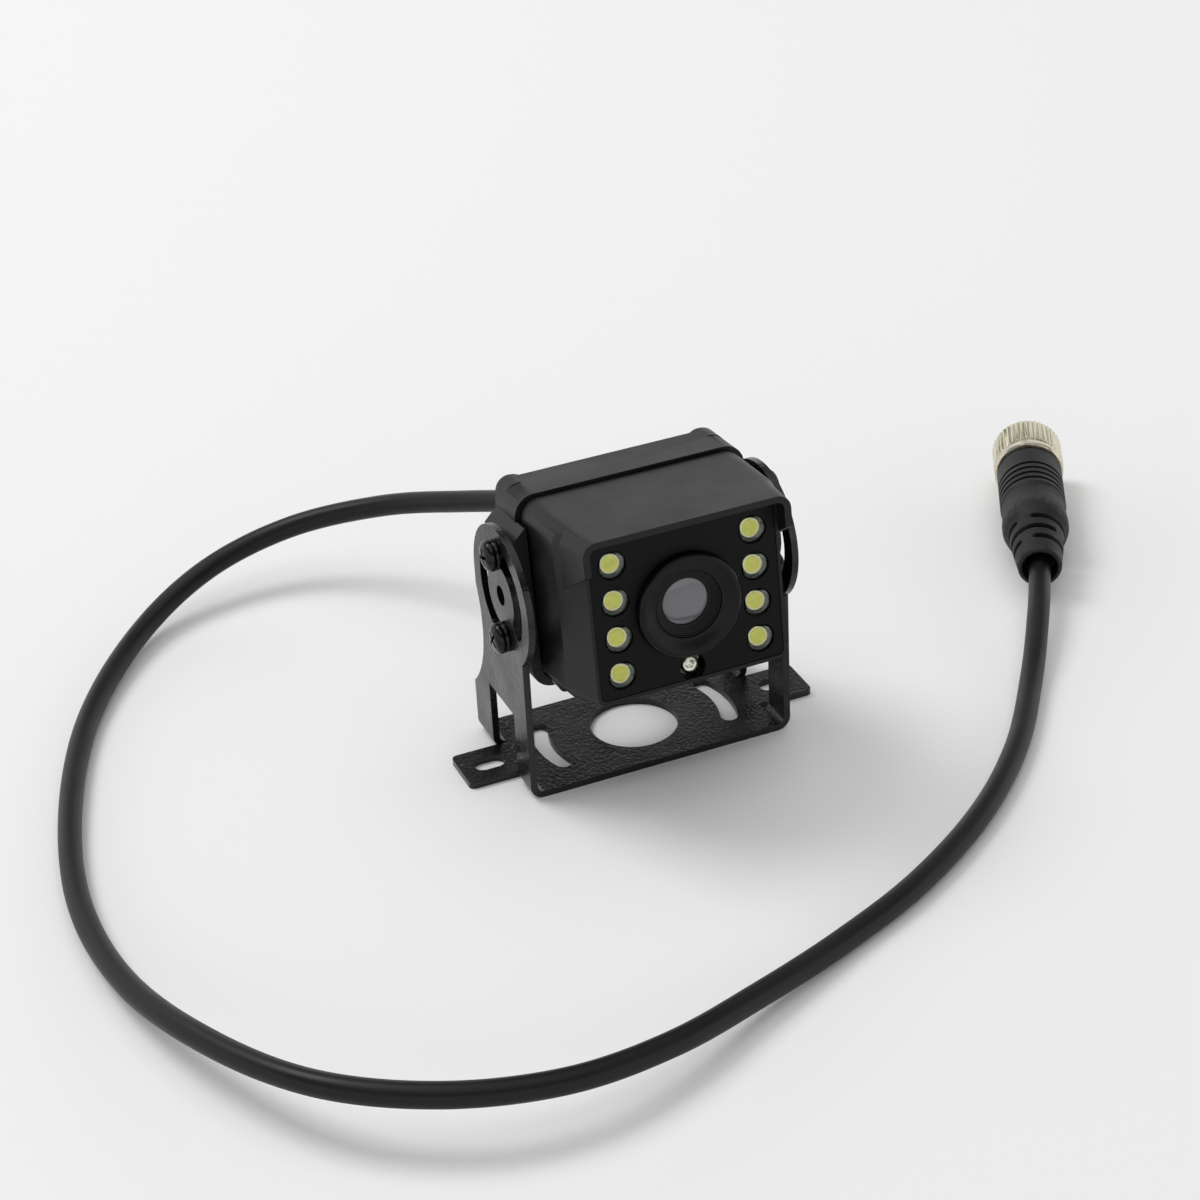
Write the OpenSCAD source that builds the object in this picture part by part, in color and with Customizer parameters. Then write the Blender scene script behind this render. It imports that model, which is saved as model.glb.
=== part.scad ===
// Backup camera: a hooded housing with eight lamps on a U-shaped steel bracket,
// and a lead that ends in a round screw-on plug.
// Units are millimetres. +Z is up, the lens looks towards -Y, and the origin is
// the centre of the big base hole at floor level.

/* [Bracket] */
// Width over the outer faces of the two arms
bracket_w = 60; // [59:0.5:64]
// Depth of the base plate, front to rear
base_d = 30.4; // [29:0.2:34]
// Thickness of the steel sheet
sheet_t = 1.5; // [1.2:0.1:1.8]
// Width from the tip of one ear to the tip of the other
ear_span = 80; // [76:1:86]
// Width of an ear, front to rear
ear_w = 11.6; // [10:0.2:12.4]
// Distance between the two ear slots
ear_slot_gap = 67; // [66:0.5:69]
// Length of an ear slot, end to end
ear_slot_l = 7; // [6:0.5:8]
// Width of an ear slot
ear_slot_w = 4.4; // [4:0.1:5]
// Diameter of the hole in the middle of the base
base_hole_d = 19; // [16:0.5:20]
// Height of the tilt axis above the floor
axis_z = 44.5; // [43:0.5:50]
// Radius of the round head of each arm
head_r = 15; // [14.5:0.1:15.6]
// Radius at which the tilt screws run in their slots
slot_r = 9.2; // [8.8:0.1:9.6]

/* [Housing] */
// Angle by which the lens looks up as the camera stands
rest_tilt = 6.5; // [0:0.5:9]
// Width of the rear shell
rear_w = 51; // [50:0.2:52]
// Height of the rear shell
rear_h = 43; // [42:0.5:44]
// Width of the front shell where it meets the rear shell
front_w = 49; // [48:0.2:49.4]
// How far the hood stands in front of the face
hood_l = 3.5; // [2.5:0.1:5]

/* [Face] */
// Distance between lamps in a column
lamp_pitch = 8; // [7.6:0.1:8.2]
// Distance of each lamp column from the middle
lamp_x = 15.2; // [14.8:0.1:15.6]
// Diameter of a lamp hole
lamp_hole_d = 6.1; // [5.8:0.1:6.4]
// Outer diameter of the ring round the lens
ring_d = 22.2; // [21:0.1:22.6]

/* [Lead] */
// Diameter of the cable
cable_d = 5; // [4:0.1:5.4]
// Outer diameter of the coupling nut
nut_d = 16.6; // [16:0.1:18]
// Number of ribs round the coupling nut
nut_ribs = 44; // [24:2:60]
// Length of the plug, from the cable end to the nut's mouth
plug_l = 57; // [55:1:62]

/* [Hidden] */
$fn = 48;
eps = 0.01;

// Bracket
axis_y = -5.4;
bend_r = 3;
arm_x = bracket_w / 2;
arm_in = arm_x - sheet_t;
base_front = -base_d / 2;
base_rear = base_d / 2;
slot_w = 4.3;
slot_from = -26;
slot_to = 100;
pivot_hole_d = 4.3;
arc_slot_r = 20.6;
arc_slot_w = 3.8;
arc_slot_half = 20;
cut_front = -7.9;
cut_rear = 6.1;
cut_h = 17;
waist_r = 23;
waist_y = 30.4;
waist_z = 30;

// Housing, in its own frame: tilt axis at the origin, lens towards -Y
rear_back = 11;
joint_rear = -1.2;
joint_front = -1.8;
rear_z0 = -22.3;
front_h = 39.3;
front_z0 = -19.3;
face_y = -26;
shoulder_y = -18;
wall = 2.4;
boss_x = arm_in - 0.1;
tapped_x = 24.5;
panel_w = 40.2;
panel_h = 34.6;
panel_z0 = -16.1;
panel_t = 1.2;
panel_front = face_y + 0.1;
lamp_z0 = -11.4;
lens_z = 0.5;
light_sensor_z = -13.7;
light_sensor_d = 5.6;
lamp_board_y = -19.5;
sensor_board_y = -7.5;
board_t = 1.2;
spacer_x = 15;
spacer_z = 12;
rear_screw_x = rear_w / 2 - 4.1;
rear_screw_top = rear_z0 + rear_h - 3.4;
rear_screw_low = rear_z0 + 3.4;
gland_z = -2;
gland_end = 24;
lamp_spots = [for (side = [-1, 1], row = [0:3])
    [side * lamp_x, lamp_z0 + row * lamp_pitch]];
rear_screw_spots = [for (side = [-1, 1], z = [rear_screw_low, rear_screw_top])
    [side * rear_screw_x, z]];
spacer_spots = [for (sx = [-1, 1], sz = [-1, 1]) [sx * spacer_x, sz * spacer_z]];

// Plug, along its own +Y from the cable end to the nut's mouth
plug_place = [104, 6, nut_d / 2];
plug_turn = -27.5;
nut_l = 12;
nut_y0 = plug_l - nut_l;
sleeve_r = 7.7;
shell_r = 6;

// The lead's route after the gland, as it lies: off the housing, down to the
// floor on the left, round the front and back to the plug on the right
lead_route = [
    [-1, 33, 37.5],
    [-5, 48, 33.5],
    [-13, 65, 27.5],
    [-26, 84, 20.5],
    [-45, 96, 14],
    [-66, 95, 9],
    [-86, 83, 4.2],
    [-105, 57, 2.6],
    [-118, 24, 2.6],
    [-125, -10, 2.8],
    [-124, -42, 5],
    [-116, -71, 9],
    [-103, -94, 11.7],
    [-84, -107.5, 12],
    [-62, -112, 10.3],
    [-40, -108, 7.5],
    [-18, -99, 4.5],
    [4, -89.5, 2.6],
    [26, -79.5, 2.6],
    [48, -65, 2.6],
    [67, -47, 2.6],
    [83, -26, 3],
    [95, -8.5, 6.5]
];
ring_sides = 12;
steps_per_span = 3;

// A point of the housing's own frame, in the part's frame
function placed(p) = [
    p.x,
    axis_y + p.y * cos(rest_tilt) + p.z * sin(rest_tilt),
    axis_z - p.y * sin(rest_tilt) + p.z * cos(rest_tilt)
];

// A point on the plug's axis
function on_plug(y) = plug_place + y * [-sin(plug_turn), cos(plug_turn), 0];

lead_start = placed([0, gland_end, gland_z]);
lead_points = concat(
    [placed([0, gland_end - 14, gland_z]), lead_start],
    lead_route,
    [on_plug(1), on_plug(8), on_plug(20)]
);

// Catmull-Rom curve through the route
function curve(a, b, c, d, t) = 0.5 * (
    2 * b + (c - a) * t + (2 * a - 5 * b + 4 * c - d) * t * t
    + (3 * b - a - 3 * c + d) * t * t * t
);
lead_line = concat(
    [for (i = [1 : len(lead_points) - 3], s = [0 : steps_per_span - 1])
        curve(lead_points[i - 1], lead_points[i], lead_points[i + 1],
            lead_points[i + 2], s / steps_per_span)],
    [lead_points[len(lead_points) - 2]]
);

module in_housing() {
    translate([0, axis_y, axis_z])
        rotate([-rest_tilt, 0, 0])
            children();
}

// Puts children drawn along +Z onto the -Y direction, starting at y
module facing(x, y, z) {
    translate([x, y, z])
        rotate([90, 0, 0])
            children();
}

module at_spots(spots, y) {
    for (s = spots)
        facing(s.x, y, s.y)
            children();
}

// Block with rounded upright edges seen from the front, from y0 back to y1
module rounded_block(w, h, r, z0, y0, y1) {
    translate([-w / 2 + r, y0, z0])
        cube([w - 2 * r, y1 - y0, h]);
    translate([-w / 2, y0, z0 + r])
        cube([w, y1 - y0, h - 2 * r]);
    for (x = [r - w / 2, w / 2 - r], z = [z0 + r, z0 + h - r])
        facing(x, y1, z)
            cylinder(r = r, h = y1 - y0);
}

// Curved slot about the origin, drawn in XY and cut upwards. It is swept from
// both ends, and share is how much of its length each sweep covers.
module arc_slot(r, w, from, to, h, share = 0.6) {
    for (end = [[from, 0], [to, 1]])
        rotate([0, 0, end[0]])
            mirror([0, end[1], 0]) {
                translate([r, 0, 0])
                    rotate([0, 0, 90])
                        cylinder(d = w, h = h);
                rotate_extrude(angle = (to - from) * share)
                    translate([r - w / 2, 0])
                        square([w, h]);
            }
}

// Places a drawing made in (y, z) at x, thickness towards +X
module in_side_plane(x) {
    translate([x, 0, 0])
        rotate([90, 0, 90])
            children();
}

module arm_blank() {
    linear_extrude(sheet_t)
        difference() {
            union() {
                translate([axis_y, axis_z])
                    circle(r = head_r);
                polygon([
                    [base_front, bend_r],
                    [base_rear, bend_r],
                    [base_rear, 12.6],
                    [axis_y + head_r, 40],
                    [axis_y + head_r, axis_z],
                    [axis_y, axis_z],
                    [base_front, 33]
                ]);
            }
            translate([waist_y, waist_z])
                circle(r = waist_r);
        }
}

module arm_holes() {
    translate([axis_y, axis_z, -1]) {
        cylinder(d = pivot_hole_d, h = sheet_t + 2);
        arc_slot(slot_r, slot_w, 180 - slot_to, 180 - slot_from, sheet_t + 2);
        arc_slot(slot_r, slot_w, -slot_to, -slot_from, sheet_t + 2);
    }
}

module arm(side) {
    x = side > 0 ? arm_in : -arm_x;
    in_side_plane(x)
        difference() {
            arm_blank();
            arm_holes();
        }
    translate([side * (arm_x - bend_r), base_rear, bend_r])
        rotate([90, side > 0 ? 90 : 180, 0])
            rotate_extrude(angle = 90)
                translate([bend_r - sheet_t, 0])
                    square([sheet_t, base_d]);
}

module ear(side) {
    length = ear_span / 2 - arm_x + bend_r;
    x0 = side > 0 ? arm_x - bend_r : -ear_span / 2;
    r = 1.2;
    tip = side * (ear_span / 2 - r);
    translate([side > 0 ? x0 : x0 + r, -ear_w / 2, 0])
        cube([length - r, ear_w, sheet_t]);
    translate([x0, r - ear_w / 2, 0])
        cube([length, ear_w - 2 * r, sheet_t]);
    for (y = [r - ear_w / 2, ear_w / 2 - r])
        translate([tip, y, 0])
            cylinder(r = r, h = sheet_t);
}

module bracket() {
    color([0.09, 0.09, 0.1])
        difference() {
            union() {
                difference() {
                    union() {
                        translate([bend_r - arm_x, base_front, 0])
                            cube([bracket_w - 2 * bend_r, base_d, sheet_t]);
                        arm(-1);
                        arm(1);
                    }
                    for (side = [-1, 1])
                        translate([side * arm_x - bend_r, cut_front, -1])
                            cube([2 * bend_r, cut_rear - cut_front, cut_h + 1]);
                }
                ear(-1);
                ear(1);
            }
            translate([0, 0, -1])
                cylinder(d = base_hole_d, h = sheet_t + 2);
            for (turn = [0, 180])
                translate([0, 0, -1])
                    arc_slot(arc_slot_r, arc_slot_w, turn - arc_slot_half,
                        turn + arc_slot_half, sheet_t + 2, 0.5);
            for (side = [-1, 1])
                translate([side * ear_slot_gap / 2, 0, -1]) {
                    reach = (ear_slot_l - ear_slot_w) / 2;
                    translate([-reach, -ear_slot_w / 2, 0])
                        cube([2 * reach, ear_slot_w, sheet_t + 2]);
                    for (x = [-reach, reach])
                        translate([x, 0, 0])
                            cylinder(d = ear_slot_w, h = sheet_t + 2);
                }
        }
}

module side_boss(side) {
    reach = boss_x - rear_w / 2 + wall + 1.6;
    x0 = rear_w / 2 - wall - 1.6;
    scale_x = side;
    translate([0, 9.5, 0])
        rotate([90, 0, 0])
            linear_extrude(15)
                polygon([
                    [scale_x * x0, 15.6],
                    [scale_x * (x0 + reach - 3.1), 15.6],
                    [scale_x * (x0 + reach), 12.6],
                    [scale_x * (x0 + reach), -12.6],
                    [scale_x * (x0 + reach - 3.1), -15.6],
                    [scale_x * x0, -15.6]
                ]);
}

module rear_shell() {
    color([0.13, 0.13, 0.14])
        in_housing()
            difference() {
                union() {
                    hull() {
                        rounded_block(rear_w, rear_h, 4.5, rear_z0,
                            joint_rear, rear_back - 1.1);
                        rounded_block(rear_w - 2.2, rear_h - 2.2, 3.6, rear_z0 + 1.1,
                            joint_rear, rear_back);
                    }
                    at_spots(rear_screw_spots, rear_back)
                        cylinder(r = 3.5, h = 5);
                    side_boss(-1);
                    side_boss(1);
                }
                difference() {
                    rounded_block(rear_w - 2 * wall, rear_h - 2 * wall, 3,
                        rear_z0 + wall, -8, rear_back - wall);
                    for (side = [-1, 1])
                        translate([side > 0 ? 20.6 : -rear_w / 2, joint_rear, -13])
                            cube([rear_w / 2 - 20.6, 10, 26]);
                    at_spots(rear_screw_spots, rear_back)
                        cylinder(r = 3.4, h = rear_back - joint_rear);
                }
                translate([-front_w / 2 - 0.4, -8, front_z0 - 3])
                    cube([front_w + 0.8, 8 + joint_rear, front_h + 6]);
                at_spots(rear_screw_spots, rear_back + 1)
                    cylinder(r = 1.6, h = 20);
                facing(0, rear_back + 1, gland_z)
                    cylinder(r = 5.5, h = 5);
                for (side = [-1, 1])
                    rotate([0, side * 90, 0]) {
                        translate([0, 0, tapped_x])
                            cylinder(r = 1.7, h = 10);
                        for (z = [-slot_r, slot_r])
                            translate([z, 0, tapped_x])
                                cylinder(r = 2, h = 10);
                    }
            }
}

module front_outer() {
    hull() {
        rounded_block(front_w, front_h, 4, front_z0, joint_front - 0.4, joint_front);
        rounded_block(front_w - 0.6, front_h - 1.3, 3.5, front_z0 + 1.1,
            shoulder_y, shoulder_y + 0.4);
        rounded_block(panel_w + 1.6, panel_h + 1.8, 1.8, panel_z0 - 0.9,
            face_y, face_y + 0.4);
    }
}

module hood() {
    intersection() {
        hull() {
            rounded_block(front_w - 0.4, front_h - 1.2, 3.8, front_z0 + 1.1,
                -12, -11.6);
            rounded_block(front_w - 4.2, front_h - 3.4, 3, front_z0 + 2.5 + 0.8,
                face_y - hood_l, face_y - hood_l + 0.4);
        }
        translate([-front_w / 2, 0, 0])
            rotate([90, 0, 90])
                linear_extrude(front_w)
                    polygon([
                        [face_y - hood_l - 1, 13.4],
                        [-12, 3],
                        [-12, 22],
                        [face_y - hood_l - 1, 22]
                    ]);
    }
}

module front_shell() {
    color([0.13, 0.13, 0.14])
        in_housing()
            difference() {
                union() {
                    front_outer();
                    hood();
                }
                difference() {
                    hull() {
                        rounded_block(front_w - 2 * wall, front_h - 2 * wall, 3,
                            front_z0 + wall, joint_front, joint_front + 1);
                        rounded_block(front_w - 2 * wall - 0.6, front_h - 2 * wall - 1.3,
                            3, front_z0 + wall + 1.1, shoulder_y, shoulder_y + 0.4);
                        rounded_block(panel_w - 1.6, panel_h - 1.6, 1.5, panel_z0 + 0.8,
                            face_y + 2.2, face_y + 2.6);
                    }
                    at_spots(rear_screw_spots, joint_front)
                        cylinder(r = 3, h = 12);
                }
                rounded_block(panel_w - 2, panel_h - 2, 1.2, panel_z0 + 1,
                    face_y - 1, face_y + 3);
                rounded_block(panel_w + 0.2, panel_h + 0.2, 1.5, panel_z0 - 0.1,
                    face_y - 1, panel_front + panel_t);
                rounded_block(panel_w + 1.6, 40, 1.5, -21.5,
                    face_y - hood_l - 1, face_y);
                at_spots(rear_screw_spots, joint_front + 1)
                    cylinder(r = 1.5, h = 10);
                facing(0, lamp_board_y + 2, light_sensor_z)
                    cylinder(r = 2.5, h = lamp_board_y + 2 - panel_front - panel_t + 0.3);
            }
}

module housing_gasket() {
    color([0.03, 0.03, 0.03])
        in_housing()
            difference() {
                rounded_block(front_w - 0.8, front_h - 0.8, 3.6, front_z0 + 0.4,
                    joint_front, joint_rear);
                difference() {
                    rounded_block(front_w - 2 * wall, front_h - 2 * wall, 3,
                        front_z0 + wall, joint_front - 1, joint_rear + 1);
                    at_spots(rear_screw_spots, joint_rear + 1)
                        cylinder(r = 3, h = 3);
                }
                at_spots(rear_screw_spots, joint_rear + 1)
                    cylinder(r = 1.6, h = 3);
            }
}

module face_panel() {
    color([0.1, 0.1, 0.11])
        in_housing()
            difference() {
                rounded_block(panel_w, panel_h, 1.4, panel_z0,
                    panel_front, panel_front + panel_t);
                at_spots(lamp_spots, face_y + 3)
                    cylinder(d = lamp_hole_d, h = 4);
                facing(0, face_y + 3, light_sensor_z)
                    cylinder(d = light_sensor_d, h = 4);
                facing(0, face_y + 3, lens_z)
                    cylinder(d = ring_d + 0.1, h = 4);
            }
}

module lens_ring() {
    r = ring_d / 2;
    color([0.08, 0.08, 0.09])
        in_housing()
            facing(0, -23.4, lens_z)
                rotate_extrude()
                    polygon([
                        [7.2, 0],
                        [r, 0],
                        [r, 4],
                        [r - 0.6, 4.6],
                        [9.9, 4.6],
                        [7.6, 3.3],
                        [7.2, 3.3]
                    ]);
}

module lens_seal() {
    color([0.05, 0.05, 0.05])
        in_housing()
            facing(0, -22.2, lens_z)
                difference() {
                    cylinder(r = 10.6, h = 1.2);
                    translate([0, 0, -1])
                        cylinder(r = 7.3, h = 4);
                }
}

module lens_barrel() {
    color([0.05, 0.05, 0.06])
        in_housing()
            facing(0, -9.6, lens_z)
                rotate_extrude()
                    polygon([
                        [4, 0],
                        [5.9, 0],
                        [5.9, 12.6],
                        [7.1, 12.6],
                        [7.1, 16.9],
                        [6.7, 16.9],
                        [5.5, 15.3],
                        [5.05, 15.3],
                        [5.05, 13.6],
                        [4, 13.6]
                    ]);
}

module lens_glass() {
    color([0.45, 0.46, 0.48, 0.6])
        in_housing()
            facing(0, -23.2, lens_z)
                intersection() {
                    cylinder(r = 5, h = 4);
                    translate([0, 0, 1.9 - 16])
                        sphere(r = 16, $fn = 96);
                }
}

module inner_lens() {
    color([0.5, 0.5, 0.55, 0.6])
        in_housing()
            facing(0, -17, lens_z)
                cylinder(r = 3.95, h = 1.8);
}

module lens_holder() {
    color([0.06, 0.06, 0.06])
        in_housing()
            difference() {
                translate([-8, -16.4, lens_z - 8])
                    cube([16, 16.4 + sensor_board_y, 16]);
                facing(0, 0, lens_z)
                    cylinder(r = 5.95, h = 20);
                translate([-6.5, -9.6, lens_z - 6.5])
                    cube([13, 5, 13]);
            }
}

module image_sensor() {
    color([0.15, 0.2, 0.25])
        in_housing()
            translate([-4, sensor_board_y - 1.3, lens_z - 3.5])
                cube([8, 1.3, 7]);
}

module sensor_board() {
    color([0.05, 0.3, 0.15])
        in_housing()
            difference() {
                rounded_block(36, 31, 1.5, -15.5, sensor_board_y,
                    sensor_board_y + board_t);
                at_spots(spacer_spots, 0)
                    cylinder(r = 1.1, h = 10);
            }
}

module lamp_board() {
    color([0.05, 0.25, 0.13])
        in_housing()
            difference() {
                rounded_block(37, 31.4, 1.5, -15.6, lamp_board_y,
                    lamp_board_y + board_t);
                facing(0, -10, lens_z)
                    cylinder(r = 8.4, h = 20);
                at_spots(spacer_spots, -17)
                    cylinder(r = 1.1, h = 5);
            }
}

module lamp_cups() {
    color([0.85, 0.85, 0.75])
        in_housing()
            at_spots(lamp_spots, lamp_board_y)
                difference() {
                    cylinder(r = 1.8, h = 4.9);
                    translate([0, 0, 4.5])
                        cylinder(r = 1.5, h = 2);
                }
}

module lamp_phosphors() {
    color([0.75, 0.76, 0.3])
        in_housing()
            at_spots(lamp_spots, lamp_board_y - 4.5)
                cylinder(r = 1.5, h = 0.3);
}

// Clear resin body round each cup, slightly domed in front of the face
module lamp_domes() {
    color([0.9, 0.92, 0.85, 0.4])
        in_housing()
            at_spots(lamp_spots, lamp_board_y)
                rotate_extrude()
                    polygon([
                        [1.85, 0],
                        [2.9, 0],
                        [2.9, 5.9],
                        [2.6, 6.3],
                        [1.9, 6.6],
                        [1, 6.75],
                        [0, 6.8],
                        [0, 4.95],
                        [1.85, 4.95]
                    ]);
}

module light_sensor_base() {
    color([0.2, 0.2, 0.2])
        in_housing()
            facing(0, lamp_board_y, light_sensor_z)
                cylinder(r = 2.4, h = 1.2);
}

module light_sensor_element() {
    color([0.9, 0.9, 0.88])
        in_housing()
            facing(0, lamp_board_y - 1.2, light_sensor_z) {
                translate([0, 0, 2.6])
                    difference() {
                        cylinder(r = 1.1, h = 0.7);
                        translate([0, 0, 0.3])
                            cylinder(r = 0.6, h = 1);
                    }
                for (x = [-0.75, 0.75])
                    translate([x, 0, 0])
                        cylinder(r = 0.25, h = 2.7);
            }
}

module light_sensor_dome() {
    color([0.85, 0.87, 0.9, 0.4])
        in_housing()
            facing(0, lamp_board_y - 1.2, light_sensor_z)
                difference() {
                    union() {
                        cylinder(r = 2.4, h = 2.7);
                        intersection() {
                            translate([0, 0, 2.7])
                                sphere(r = 2.4, $fn = 64);
                            cylinder(r = 4, h = 9);
                        }
                    }
                    translate([0, 0, -1])
                        cylinder(r = 1.2, h = 4.4);
                }
}

module board_spacers() {
    gap = sensor_board_y - lamp_board_y - board_t;
    color([0.8, 0.75, 0.5])
        in_housing()
            at_spots(spacer_spots, sensor_board_y)
                difference() {
                    cylinder(r = 2.2, h = gap);
                    translate([0, 0, -1])
                        cylinder(r = 1.05, h = gap + 2);
                }
}

module board_screws() {
    color([0.75, 0.75, 0.75])
        in_housing()
            at_spots(spacer_spots, sensor_board_y + board_t + 1.3) {
                cylinder(r = 1.9, h = 1.3);
                cylinder(r = 1, h = 8);
            }
}

module board_connector() {
    color([0.9, 0.88, 0.8])
        in_housing()
            translate([-5, sensor_board_y + board_t, gland_z - 3])
                cube([10, 5.4, 6]);
}

module lead_wires() {
    y0 = sensor_board_y + board_t + 5.4;
    colours = ["red", "black", "gold", "white"];
    for (i = [0:3])
        color(colours[i])
            in_housing()
                facing((i - 1.5) * 1.2, 7, gland_z)
                    cylinder(r = 0.5, h = 7 - y0);
}

module rear_screws() {
    color([0.1, 0.1, 0.1])
        in_housing()
            for (s = rear_screw_spots)
                facing(s.x, rear_back + 2.3, s.y)
                    difference() {
                        union() {
                            rotate_extrude()
                                polygon([[0, 0], [1.8, 0], [2.7, 0.5], [3.1, 1.3], [3.1, 2.3], [0, 2.3]]);
                            cylinder(r = 1.45, h = 21);
                        }
                        for (turn = [0, 90])
                            rotate([0, 0, turn])
                                translate([-1.6, -0.3, -eps])
                                    cube([3.2, 0.6, 1.1]);
                    }
}

module tilt_screw() {
    difference() {
        union() {
            rotate_extrude()
                polygon([[0, 0], [3.3, 0], [3.3, 0.9], [2.9, 1.6], [1.9, 2], [0, 2]]);
            translate([0, 0, tapped_x - arm_x - 0.8])
                cylinder(r = 1.95, h = arm_x + 0.9 - tapped_x);
        }
        for (turn = [20, 110])
            rotate([0, 0, turn])
                translate([-1.9, -0.4, 0.8])
                    cube([3.8, 0.8, 2]);
    }
}

module on_tilt_spots(x) {
    for (side = [-1, 1], z = [-slot_r, slot_r])
        translate([side * x, 0, z])
            rotate([0, side * 90, 0])
                children();
}

module tilt_screws() {
    color([0.1, 0.1, 0.1])
        in_housing()
            on_tilt_spots(arm_x + 0.9)
                tilt_screw();
}

module tilt_washers() {
    color([0.14, 0.14, 0.14])
        in_housing()
            on_tilt_spots(arm_x + 0.1)
                difference() {
                    cylinder(r = 3.5, h = 0.8);
                    translate([0, 0, -1])
                        cylinder(r = 2.05, h = 3);
                }
}

module cable_gland() {
    color([0.07, 0.07, 0.07])
        in_housing()
            facing(0, gland_end, gland_z)
                difference() {
                    rotate_extrude()
                        polygon([
                            [0, 0],
                            [3.7, 0],
                            [5.2, 11],
                            [7.2, 11],
                            [7.2, 13],
                            [5.45, 13],
                            [5.45, gland_end - rear_back + wall],
                            [6.8, gland_end - rear_back + wall],
                            [6.8, 16.6],
                            [0, 16.6]
                        ]);
                    translate([0, 0, -1])
                        cylinder(d = cable_d, h = 20);
                }
}

module cable_entry() {
    color([0.06, 0.06, 0.06])
        in_housing()
            facing(0, gland_end, gland_z)
                cylinder(d = cable_d, h = gland_end - 7);
}

// Direction of the lead at ring i, and the ring's points
function heading(i) = let (
    a = lead_line[max(i - 1, 0)],
    b = lead_line[min(i + 1, len(lead_line) - 1)]
) (b - a) / norm(b - a);
function ring(i, r) = let (
    t = i == 0 ? [0, cos(rest_tilt), -sin(rest_tilt)] : heading(i),
    side = cross(t, [0, 0, 1]) / norm(cross(t, [0, 0, 1])),
    up = cross(side, t)
) [for (k = [0 : ring_sides - 1])
    lead_line[i] + r * (cos(360 * k / ring_sides) * side
        + sin(360 * k / ring_sides) * up)];

module cable() {
    count = len(lead_line);
    points = [for (i = [0 : count - 1]) each ring(i, cable_d / 2)];
    walls = [for (i = [0 : count - 2], k = [0 : ring_sides - 1])
        let (n = (k + 1) % ring_sides)
        [i * ring_sides + k, i * ring_sides + n,
            (i + 1) * ring_sides + n, (i + 1) * ring_sides + k]];
    first = [for (k = [ring_sides - 1 : -1 : 0]) k];
    last = [for (k = [0 : ring_sides - 1]) (count - 1) * ring_sides + k];
    color([0.07, 0.07, 0.07])
        polyhedron(points, concat([first, last], walls), convexity = 10);
}

module on_plug_axis() {
    translate(plug_place)
        rotate([0, 0, plug_turn])
            rotate([-90, 0, 0])
                children();
}

// Slots part of the way round that let the sleeve's tail bend, every other row
// turned a quarter
module tail_cuts() {
    reach = 135;
    for (row = [0:2], half = [0, 180])
        rotate([0, 0, half + (row % 2 == 0 ? 262 : 172)])
            translate([0, 0, 4.6 + row * 3.9]) {
                rotate_extrude(angle = reach)
                    translate([3, 0])
                        square([6, 1.7]);
                for (a = [0, reach])
                    rotate([0, 0, a])
                        translate([3, 0, 0.85])
                            rotate([0, 90, 0])
                                cylinder(r = 0.84, h = 6);
            }
}

module plug_sleeve() {
    color([0.16, 0.16, 0.17])
        on_plug_axis()
            difference() {
                rotate_extrude()
                    polygon([
                        [2.75, 8],
                        [2.75, 4.5],
                        [3.7, 4],
                        [4.1, 0],
                        [4.6, 0],
                        [5, 0.5],
                        [6.5, 14.4],
                        [7.3, 15.8],
                        [7.7, 17.6],
                        [7.7, 19.4],
                        [7.35, 24.4],
                        [7.35, 26.6],
                        [sleeve_r, 27.6],
                        [sleeve_r, 43.4],
                        [7, 44.4],
                        [shell_r + 0.02, 44.4],
                        [shell_r + 0.02, 38],
                        [0, 38],
                        [0, 8]
                    ]);
                tail_cuts();
                for (row = [0:3])
                    translate([0, 0, 28.8 + row * 2.4])
                        difference() {
                            cylinder(r = 9, h = 1);
                            translate([0, 0, -1])
                                cylinder(r = sleeve_r - 0.65, h = 4);
                        }
            }
}

module plug_shell() {
    color([0.8, 0.78, 0.72])
        on_plug_axis()
            translate([0, 0, 38])
                rotate_extrude()
                    polygon([
                        [4.9, 0],
                        [shell_r, 0],
                        [shell_r, plug_l - 47],
                        [7, plug_l - 47],
                        [7, plug_l - 45.6],
                        [shell_r, plug_l - 45.6],
                        [shell_r, plug_l - 40],
                        [4.9, plug_l - 40]
                    ]);
}

module plug_seal() {
    color([0.75, 0.75, 0.72])
        on_plug_axis()
            translate([0, 0, plug_l - 7.6])
                difference() {
                    cylinder(r = 6.4, h = 1);
                    translate([0, 0, -1])
                        cylinder(r = shell_r + 0.02, h = 3);
                }
}

module contact_spots() {
    for (turn = [45 : 90 : 315])
        rotate([0, 0, turn])
            translate([2.4, 0, 0])
                children();
}

module contact_insert() {
    color([0.1, 0.1, 0.1])
        on_plug_axis()
            translate([0, 0, 38])
                difference() {
                    cylinder(r = 4.88, h = plug_l - 41);
                    contact_spots()
                        translate([0, 0, 2])
                            cylinder(r = 0.9, h = 30);
                }
}

module contacts() {
    color([0.85, 0.68, 0.3])
        on_plug_axis()
            contact_spots()
                translate([0, 0, 40])
                    difference() {
                        cylinder(r = 0.85, h = plug_l - 44);
                        translate([0, 0, 6])
                            cylinder(r = 0.5, h = 20);
                    }
}

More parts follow.
